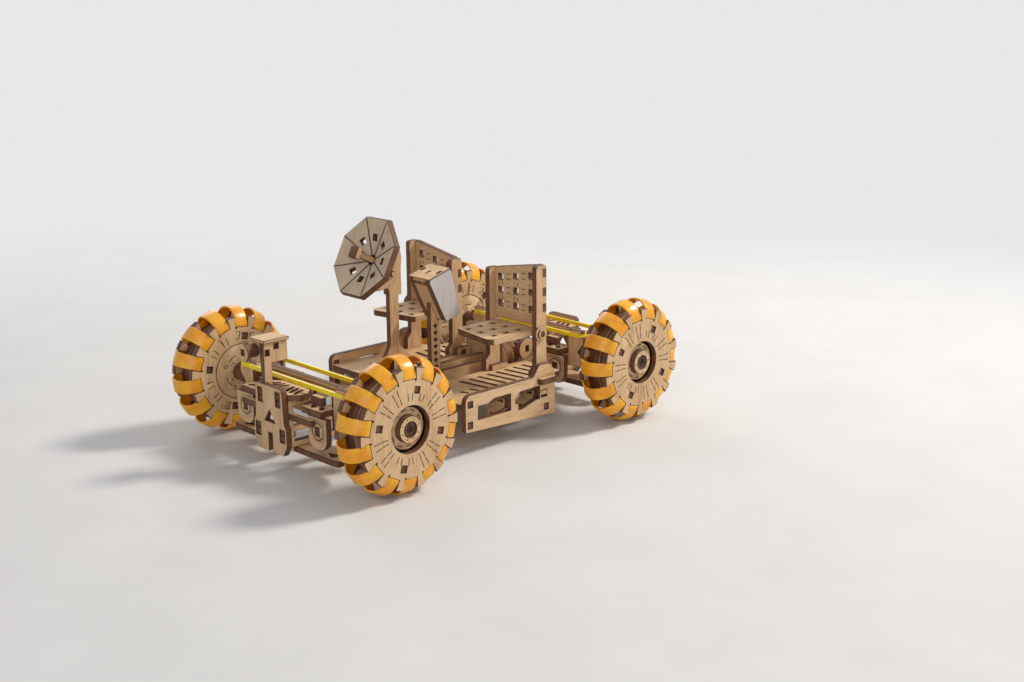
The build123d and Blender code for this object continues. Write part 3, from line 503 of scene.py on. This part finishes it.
def outer_marks(centre, side, first):
    """Pairs of dashes on the face that shows from outside."""
    marks = strap_corners(centre, side, first)
    for turn in range(STRAPS):
        if turn in BARE_MARKS:
            continue
        dashes = OUTER_DASHES[:1] if turn in SHORT_MARKS else OUTER_DASHES
        for way in (-1, 1):
            for near, far in dashes:
                angle = first + STRAP_PITCH * turn + way * PAIR_TURN
                marks.append(score(centre, angle, near, far))
    return marks


def inner_marks(centre, side, first):
    """Ring, pairs of dashes and brackets beside the holes, on the face towards the chassis."""
    marks = strap_corners(centre, side, first)
    marks.append(arc(
        centre, AXES["x"], AXES["y"], INNER_RING_R, 2 * pi, INNER_RING_W, LINE_CUT, char,
    ))
    for turn in range(STRAPS):
        if turn in BARE_MARKS or turn in SHORT_MARKS:
            continue
        for way in (-1, 1):
            angle = first + STRAP_PITCH * (turn + 0.25) + way * PAIR_TURN
            marks.append(score(centre, angle, *INNER_DASH))
    for quarter in range(4):
        hole_angle = first - HOLE_TURN["inner"] + quarter * pi / 2
        out, on = spoke(hole_angle)
        if quarter % 2 == 0:
            for way in (-1, 1):
                beside = centre + out * HOLE_R + on * way * BRACKET_SIDE
                marks.append(block(beside, out, on, BRACKET_L, LINE_W, LINE_CUT, char))
                for radius in BRACKET_TIP_R:
                    tip = centre + out * radius + on * way * BRACKET_TIP_SIDE
                    marks.append(block(tip, out, on, LINE_W, BRACKET_TIP_L, LINE_CUT, char))
        out, on = spoke(hole_angle + HUB_ARC_START)
        marks.append(arc(centre, AXES["x"], out, HUB_ARC_R, HUB_ARC_SWEEP, LINE_W, LINE_CUT, char))
        out, on = spoke(hole_angle + EYELET_TURN)
        eyelet = centre + out * EYELET_PLACE_R
        marks.append(arc(eyelet, AXES["x"], out, EYELET_R, 2 * pi, EYELET_W, LINE_CUT, char))
        out, on = spoke(hole_angle + PRICK_TURN)
        marks.append(block(centre + out * PRICK_PLACE_R, out, on, *PRICK, char))
    return marks


def hub_marks(floor_centre, cap_centre, first):
    """Broken ring on the hub floor and eight pin holes in the cap."""
    marks = []
    for dash in range(FLOOR_DASHES):
        out, on = spoke(first + dash * 2 * pi / FLOOR_DASHES)
        marks.append(arc(
            floor_centre, AXES["x"], out, FLOOR_RING_R, FLOOR_DASH_SWEEP, LINE_W, LINE_CUT, char,
        ))
    for pin in range(CAP_PINS):
        out, on = spoke(first + CAP_PIN_TURN + pin * 2 * pi / CAP_PINS)
        marks.append(block(cap_centre + out * CAP_PIN_R, out, on, *CAP_PIN, char))
    return marks


def axle_end(corner, centre, side, first):
    """Brown end of the two crossed boards that make the axle, inside the bored cap."""
    bpy.ops.object.select_all(action="DESELECT")
    bpy.ops.mesh.primitive_cylinder_add(vertices=32, radius=AXLE_END_R, depth=AXLE_END_L)
    cross = bpy.context.object
    cross.name = f"axle_end_{corner}"
    out, on = spoke(first)
    settle(cross, (out, on, AXES["x"]), centre)
    for finish in (edge["x"], edge["x"], char):
        cross.data.materials.append(finish)
    eased(cross, SMALL_CHAR_W)
    end_face = centre + AXES["x"] * side * AXLE_END_L / 2
    cuts = [
        block(end_face, out, on, length, width, AXLE_CUT_DEPTH, char) for length, width in AXLE_CUTS
    ]
    engraved(cross, cuts + [arc(end_face, AXES["x"], out, *AXLE_RING, char)])
    placed(cross, f"wheel_{corner}")


for corner, first_angle in FIRST_STRAP.items():
    end = -1 if "front" in corner else 1
    side = 1 if "left" in corner else -1
    first = radians(first_angle)
    hub = Vector((0, end * HALF_BASE, AXLE_Z))
    discs = dressed(f"wheel_discs_{corner}", "x", face["z"], f"wheel_{corner}")
    face_centre = {name: hub + AXES["x"] * side * x for name, x in DISC_FACES.items()}
    disc_marks = outer_marks(face_centre["outer"], side, first)
    disc_marks += inner_marks(face_centre["inner"], side, first)
    engraved(discs, disc_marks)
    drum = dressed(f"wheel_drum_{corner}", "x", face["y"], f"wheel_{corner}")
    hub_floor = hub + AXES["x"] * side * HUB_FLOOR_X
    engraved(drum, hub_marks(hub_floor, face_centre["outer"], first))
    axle_end(corner, hub + AXES["x"] * side * AXLE_END_X, side, first)
    for disc, peg_x in PEG_MID_X.items():
        out, on = spoke(first - HOLE_TURN[disc])
        middle = hub + AXES["x"] * side * peg_x
        pegs(
            f"{disc}_pegs_{corner}", [middle + way * HOLE_R for way in (out, on, -out, -on)],
            out, on, PEG_W, PEG_W, PEG_L, f"wheel_{corner}",
        )
    dressed(f"knuckle_{corner}", "x", face["x"], f"knuckle_{corner}")

# Straps
# Fourteen strips of translucent orange plastic on each wheel, heated and bent to half rings
# whose ends are sprung into the notches of both discs.
ORANGE_DEEP = (0.86, 0.34, 0.010, 1)
ORANGE_LIT = (0.98, 0.47, 0.018, 1)
STRAP_MID_X = 66.75 * MM
STRAP_SEAT_R = 22.75 * MM
STRAP_BEND_R = 8.75 * MM
STRAP_T = 1.0 * MM
STRAP_W = 7.0 * MM
STRAP_ROUND = 0.3 * MM
STRAP_SMOOTH = radians(40)


def strap_plastic():
    """Translucent orange sheet with soft clouds of colour and fine scuffs."""
    material, tree, shader = new_material("strap_plastic")
    clouds = noise(tree, place_pattern(tree), scale=0.11, detail=3)
    scuffs = noise(tree, place_pattern(tree), scale=1.6, detail=5, rough=0.65)
    colour = ramp(tree, clouds, (0.38, ORANGE_DEEP), (0.66, ORANGE_LIT))
    tree.links.new(colour, shader.inputs["Base Color"])
    dullness = ramp(tree, scuffs, (0.35, grey(0.20)), (0.65, grey(0.36)))
    tree.links.new(dullness, shader.inputs["Roughness"])
    shader.inputs["Subsurface Weight"].default_value = 0.5
    shader.inputs["Subsurface Radius"].default_value = (1.0, 0.6, 0.08)
    shader.inputs["Subsurface Scale"].default_value = 2.0 * MM
    bump(tree, shader, scuffs, strength=0.08, depth=0.03 * MM)
    return material


orange = strap_plastic()
for corner, first_angle in FIRST_STRAP.items():
    end = -1 if "front" in corner else 1
    side = 1 if "left" in corner else -1
    hub = Vector((0, end * HALF_BASE, AXLE_Z))
    seat = hub + Vector((side * STRAP_MID_X, STRAP_SEAT_R, 0))
    strap = arc(seat, AXES["z"], AXES["x"], STRAP_BEND_R, pi, STRAP_T, STRAP_W, orange)
    only(strap)
    bpy.ops.object.modifier_add(type="BEVEL")
    softened = strap.modifiers[-1]
    softened.width = STRAP_ROUND
    softened.segments = 3
    softened.limit_method = "ANGLE"
    softened.angle_limit = SHARP
    bpy.ops.object.modifier_apply(modifier=softened.name)
    to_hub, from_hub = Matrix.Translation(hub), Matrix.Translation(-hub)
    copies = []
    for turn in range(STRAPS):
        angle = radians(first_angle) + STRAP_PITCH * turn
        copy = bpy.data.objects.new("strap", strap.data.copy())
        bpy.context.scene.collection.objects.link(copy)
        copy.data.transform(to_hub @ Matrix.Rotation(angle, 4, "X") @ from_hub)
        copies.append(copy)
    bpy.data.objects.remove(strap)
    straps = joined(copies, f"straps_{corner}")
    bpy.ops.object.shade_smooth_by_angle(angle=STRAP_SMOOTH)
    placed(straps, f"wheel_{corner}", f"wheel_straps_{corner}")

# Elastic bands
# Flat loops of yellow rubber, one at each end module, stretched round the fork posts and
# held in their notches by their own pull.
YELLOW = (1.0, 0.78, 0.015, 1)
YELLOW_DEEP = (0.93, 0.62, 0.010, 1)


def band_rubber():
    """Yellow rubber with the faint streaks that stretching draws along it."""
    material, tree, shader = new_material("band_rubber")
    pull = noise(tree, place_pattern(tree, (0.1, 1, 1)), scale=1.4, detail=4, rough=0.6)
    colour = ramp(tree, pull, (0.35, YELLOW_DEEP), (0.6, YELLOW))
    tree.links.new(colour, shader.inputs["Base Color"])
    dullness = ramp(tree, pull, (0.3, grey(0.28)), (0.7, grey(0.42)))
    tree.links.new(dullness, shader.inputs["Roughness"])
    shader.inputs["Subsurface Weight"].default_value = 0.2
    shader.inputs["Subsurface Radius"].default_value = (1.0, 0.7, 0.1)
    shader.inputs["Subsurface Scale"].default_value = 1.0 * MM
    bump(tree, shader, pull, strength=0.15, depth=0.04 * MM)
    return material


yellow = band_rubber()
for place in ("front", "rear"):
    band = merged_copy(f"elastic_band_{place}")
    band.data.materials.clear()
    band.data.materials.append(yellow)
    placed(band, "chassis", f"elastic_band_{place}")

# Seats
# Two posts each with a pierced back pegged between them and a pan that folds on a pin.
# Short double dashes are scored between the holes of the back, and peg ends show on the posts.
NARROW_CHAR_W = 0.1 * MM
BACK_ROWS = ((62.1, 0.0), (69.0, 0.85), (75.8, 1.7))
BACK_HOLES = 3
BACK_HOLE_X = 20.0
BACK_HOLE_PITCH = 11.0
BACK_FACE_Y = 31.0 * MM
FLAT_DASH_L = 2.8 * MM
FLAT_DASH_LIFT = 1.4
UPRIGHT_DASH_L = 1.9 * MM
UPRIGHT_DASH_SHIFT = 1.2
UPRIGHT_DASH_RISE = 3.6
OUTER_POST_TABS = ((47.22, 49.78), (64.2, 72.4, 82.0))
INNER_POST_TABS = ((13.22, 15.78), (64.2, 72.4))
POST_TAB_Y = 32.4 * MM
POST_TAB = (2.8 * MM, 4.6 * MM, 0.6 * MM)
PIN_END_PLACE = (51.88 * MM, 29.1 * MM, 51.5 * MM)
PIN_END_R = 1.75 * MM
PIN_END_L = 0.8 * MM
dressed("seat_posts", "x", face["z"])
post_tabs = [
    Vector((way * x * MM, POST_TAB_Y, z * MM))
    for way in (-1, 1) for faces, heights in (INNER_POST_TABS, OUTER_POST_TABS)
    for x in faces for z in heights
]
pegs("seat_tabs", post_tabs, AXES["y"], AXES["z"], *POST_TAB)
backs = dressed("seat_backs", "y", face["x"])
back_marks = []
for way in (-1, 1):
    for row, (row_z, rise) in enumerate(BACK_ROWS):
        for step in range(BACK_HOLES):
            x = BACK_HOLE_X + step * BACK_HOLE_PITCH
            z = row_z + step * rise
            if step < BACK_HOLES - 1:
                between_x = way * (x + BACK_HOLE_PITCH / 2) * MM
                for lift in (-FLAT_DASH_LIFT, FLAT_DASH_LIFT):
                    spot = Vector((between_x, BACK_FACE_Y, (z + rise / 2 + lift) * MM))
                    back_marks.append(block(
                        spot, AXES["x"], AXES["z"], FLAT_DASH_L, LINE_W, LINE_CUT, char,
                    ))
            if row < len(BACK_ROWS) - 1:
                above_z = (z + UPRIGHT_DASH_RISE) * MM
                for shift in (-UPRIGHT_DASH_SHIFT, UPRIGHT_DASH_SHIFT):
                    spot = Vector((way * (x + shift) * MM, BACK_FACE_Y, above_z))
                    back_marks.append(block(
                        spot, AXES["x"], AXES["z"], LINE_W, UPRIGHT_DASH_L, LINE_CUT, char,
                    ))
engraved(backs, back_marks)
pin_x, pin_y, pin_z = PIN_END_PLACE
for side, way in (("left", 1), ("right", -1)):
    pan = f"seat_pan_{side}"
    dressed(pan, "xz", face["y"], pan, line=NARROW_CHAR_W)
    bpy.ops.object.select_all(action="DESELECT")
    bpy.ops.mesh.primitive_cylinder_add(vertices=28, radius=PIN_END_R, depth=PIN_END_L)
    pin = bpy.context.object
    pin.name = f"pin_end_{side}"
    settle(pin, (AXES["y"], AXES["z"], AXES["x"]), Vector((way * pin_x, pin_y, pin_z)))
    for finish in (edge["x"], edge["x"], char):
        pin.data.materials.append(finish)
    eased(pin, SMALL_CHAR_W)
    placed(pin, pan)

# Console
# A slanted box of boards on a post, with a pale painted board on each side.
# Its top board laps over the others, and their pegs come through it.
CONSOLE_FRONT = Vector((0, -7.4 * MM, 77.4 * MM))
CONSOLE_BACK = Vector((0, 7.6 * MM, 81.7 * MM))
CONSOLE_FOOT = Vector((0, 3.8 * MM, 54.5 * MM))
BOX_SLACK = 0.5
LAP_DOWN = 2.4 * MM
LAP_IN = 0.2 * MM
LAP_STEPS = (-3.6 * MM, 0, 3.6 * MM)
LAP = (3.2 * MM, 2.2 * MM, 0.56 * MM)
LID_W = 15.6 * MM
LID_T = 0.5 * MM
LID_SHORT = 0.8 * MM
LID_CHAR_W = 0.15 * MM
LID_SLOTS = ((-6.1 * MM, 0.58), (0, 0.46), (6.1 * MM, 0.58))
LID_SLOT = (1.9 * MM, 3.6 * MM, 4 * MM)
box = merged_copy("console_box")
faced(box, [AXES["y"], AXES["z"]], face["x"], edge["x"], BOX_SLACK)
eased(box)
placed(box, "chassis", "console_box")
console_down = (CONSOLE_FOOT - CONSOLE_FRONT).normalized()
console_out = console_down.cross(AXES["x"])
lap_middle = CONSOLE_FRONT + console_down * LAP_DOWN - console_out * LAP_IN
lap_spots = [lap_middle + AXES["x"] * x for x in LAP_STEPS]
pegs("console_lap", lap_spots, AXES["x"], console_down, *LAP)
console_run = CONSOLE_BACK - CONSOLE_FRONT
console_back = console_run.normalized()
console_up = AXES["x"].cross(console_back)
lid_middle = (CONSOLE_FRONT + CONSOLE_BACK) / 2 + console_up * LID_T / 2
lid_length = console_run.length - LID_SHORT
lid = block(lid_middle, AXES["x"], console_back, LID_W, lid_length, LID_T, face["x"])
lid.name = "console_lid"
lid.data.materials.append(edge["z"])
lid.data.materials.append(char)
eased(lid, LID_CHAR_W)
slot_spots = [CONSOLE_FRONT + console_run * share + AXES["x"] * x for x, share in LID_SLOTS]
engraved(lid, [block(spot, AXES["x"], console_back, *LID_SLOT, char) for spot in slot_spots])
placed(lid, "chassis")
dressed("console_post", "x", face["z"])
PAINT_PALE = (0.61, 0.575, 0.565, 1)
PAINT_MID = (0.57, 0.535, 0.52, 1)
PAINT_WORN = (0.50, 0.46, 0.435, 1)
painted = birch("painted_birch", "z", PAINT_PALE, PAINT_MID, PAINT_WORN)
dressed("console_sides", "x", painted)

# Mast and dish
# A flared birch mast, and eight birch petals glued edge to edge on a half round rib that
# turns on a pin through the mast's head. A feed bar stands in the middle of the dish.
PETAL_PALE = (0.69, 0.555, 0.41, 1)
PETAL_MID = (0.60, 0.465, 0.33, 1)
PETAL_DARK = (0.45, 0.325, 0.215, 1)
DISH_TILT = radians(27)
PETAL_SLACK = 0.15
petal_birch = birch("petal_birch", "z", PETAL_PALE, PETAL_MID, PETAL_DARK)
dressed("mast", "x", face["z"], line=NARROW_CHAR_W)
dressed("dish_rib", "x", face["z"], "dish")
petals = merged_copy("dish_petals")
dish_axis = Vector((0, -cos(DISH_TILT), sin(DISH_TILT)))
faced(petals, [dish_axis], petal_birch, edge["y"], PETAL_SLACK)
eased(petals)
placed(petals, "dish", "dish_petals")
DISH_PLACE = Vector((-22.5 * MM, -24 * MM, 88.2 * MM))
DISH_R = 22.1 * MM
DISH_DEPTH = 6.8 * MM
PETALS = 8
SEAM_MID = 12.6 * MM
SEAM = (19.6 * MM, 0.5 * MM, 0.5 * MM)
dish_across = AXES["x"].cross(dish_axis)
dish_apex = DISH_PLACE - dish_axis * DISH_DEPTH
seams = []
for petal in range(PETALS):
    angle = (petal + 0.5) * 2 * pi / PETALS
    rim_corner = DISH_PLACE + (AXES["x"] * cos(angle) + dish_across * sin(angle)) * DISH_R
    seam_run = (rim_corner - dish_apex).normalized()
    seam_side = dish_axis.cross(seam_run).normalized()
    seams.append(block(dish_apex + seam_run * SEAM_MID, seam_run, seam_side, *SEAM, char))
placed(joined(seams, "dish_seams"), "dish")
dressed("dish_feed", "xy", face["y"], "dish")

# Television camera
# One upright birch board carries a boxed body of the same boards and a round lens, all
# pegged together.
dressed("camera_board", "x", face["z"])
dressed("camera_body", "xyz", face["y"])
dressed("camera_lens", "y", face["z"])

# Floor, lamps and camera
# A plain pale floor that fades into a pale background, soft studio light with the key high
# behind the rover, and a camera where the photograph was taken from.
BACKDROP = 0.80
FLOOR_SIZE = 80
FLOOR_GAP = 0.05 * MM
FLOOR_NEAR = 0.26
FLOOR_FAR = 0.75
bpy.ops.object.select_all(action="DESELECT")
bpy.ops.mesh.primitive_plane_add(size=FLOOR_SIZE, location=(0, 0, cad_box[0].z - FLOOR_GAP))
floor = bpy.context.object
floor.name = "floor"
floor_material, floor_tree, floor_shader = new_material("floor_paint")
mottle = noise(floor_tree, place_pattern(floor_tree), scale=0.02, detail=3)
floor_tone = ramp(floor_tree, mottle, (0.3, grey(0.72)), (0.7, grey(0.76)))
floor_tree.links.new(floor_tone, floor_shader.inputs["Base Color"])
floor_shader.inputs["Roughness"].default_value = 0.85
floor_shader.inputs["Specular IOR Level"].default_value = 0.2


def seen_directly(tree):
    """One for camera, mirror and see-through rays, and nought for the light on the rover."""
    path = tree.nodes.new("ShaderNodeLightPath")
    share = path.outputs["Is Camera Ray"]
    for ray in ("Is Glossy Ray", "Is Transmission Ray"):
        either = tree.nodes.new("ShaderNodeMath")
        either.operation = "MAXIMUM"
        tree.links.new(share, either.inputs[0])
        tree.links.new(path.outputs[ray], either.inputs[1])
        share = either.outputs["Value"]
    return share


coordinate = floor_tree.nodes.new("ShaderNodeTexCoord")
distance = floor_tree.nodes.new("ShaderNodeVectorMath")
distance.operation = "LENGTH"
floor_tree.links.new(coordinate.outputs["Object"], distance.inputs[0])
fade = floor_tree.nodes.new("ShaderNodeMapRange")
fade.interpolation_type = "SMOOTHSTEP"
fade.inputs["From Min"].default_value = FLOOR_NEAR
fade.inputs["From Max"].default_value = FLOOR_FAR
floor_tree.links.new(distance.outputs["Value"], fade.inputs["Value"])
fade_seen = floor_tree.nodes.new("ShaderNodeMath")
fade_seen.operation = "MULTIPLY"
floor_tree.links.new(fade.outputs["Result"], fade_seen.inputs[0])
floor_tree.links.new(seen_directly(floor_tree), fade_seen.inputs[1])
glow = floor_tree.nodes.new("ShaderNodeEmission")
glow.inputs["Color"].default_value = grey(BACKDROP)
floor_mix = floor_tree.nodes.new("ShaderNodeMixShader")
floor_tree.links.new(fade_seen.outputs["Value"], floor_mix.inputs[0])
floor_tree.links.new(floor_shader.outputs["BSDF"], floor_mix.inputs[1])
floor_tree.links.new(glow.outputs["Emission"], floor_mix.inputs[2])
floor_output = floor_tree.nodes["Material Output"]
floor_tree.links.new(floor_mix.outputs["Shader"], floor_output.inputs["Surface"])
floor.data.materials.append(floor_material)

WORLD_LIGHT = 0.36
WORLD_COLOUR = (0.97, 0.98, 1.0, 1)
world = bpy.data.worlds.new("studio")
bpy.context.scene.world = world
world.use_nodes = True
world_tree = world.node_tree
sky = world_tree.nodes["Background"]
sky.inputs["Color"].default_value = WORLD_COLOUR
sky.inputs["Strength"].default_value = WORLD_LIGHT
backdrop = world_tree.nodes.new("ShaderNodeBackground")
backdrop.inputs["Color"].default_value = grey(BACKDROP)
world_mix = world_tree.nodes.new("ShaderNodeMixShader")
world_tree.links.new(seen_directly(world_tree), world_mix.inputs[0])
world_tree.links.new(sky.outputs["Background"], world_mix.inputs[1])
world_tree.links.new(backdrop.outputs["Background"], world_mix.inputs[2])
world_output = world_tree.nodes["World Output"]
world_tree.links.new(world_mix.outputs["Shader"], world_output.inputs["Surface"])

LAMP_TARGET = Vector((0, 0, 0.04))
LAMPS = (
    # name, place, size, watts, colour
    ("key", (0.45, 0.85, 0.95), 0.25, 13.0, (1.0, 0.95, 0.88)),
    ("fill", (0.9, -0.8, 0.5), 1.0, 4.0, (1.0, 0.98, 0.95)),
    ("rim", (-0.8, 0.3, 0.6), 0.6, 2.5, (1.0, 0.98, 0.95)),
)
for name, place, size, watts, colour in LAMPS:
    bpy.ops.object.light_add(type="AREA", location=place)
    lamp = bpy.context.object
    lamp.name = name
    lamp.data.size = size
    lamp.data.energy = watts
    lamp.data.color = colour
    aim = LAMP_TARGET - Vector(place)
    lamp.rotation_euler = aim.to_track_quat("-Z", "Y").to_euler()

PHOTO_W = 1024
FOCAL_PIXELS = 1400
SENSOR = 36.0
CAMERA_PLACE = Vector((527.668, -453.164, 226.148)) * MM
CAMERA_YAW = 0.8011
CAMERA_PITCH = 0.2572
CAMERA_ROLL = -0.0046
bpy.ops.object.camera_add(location=CAMERA_PLACE)
camera = bpy.context.object
camera.data.sensor_width = SENSOR
camera.data.lens = FOCAL_PIXELS / PHOTO_W * SENSOR
camera.data.clip_start = 0.01
camera.data.clip_end = 20
turn = Quaternion((0, 0, 1), CAMERA_YAW) @ Quaternion((1, 0, 0), pi / 2 - CAMERA_PITCH)
turn = turn @ Quaternion((0, 0, 1), CAMERA_ROLL)
camera.rotation_euler = turn.to_euler()
scene = bpy.context.scene
scene.camera = camera
scene.view_settings.view_transform = "Standard"
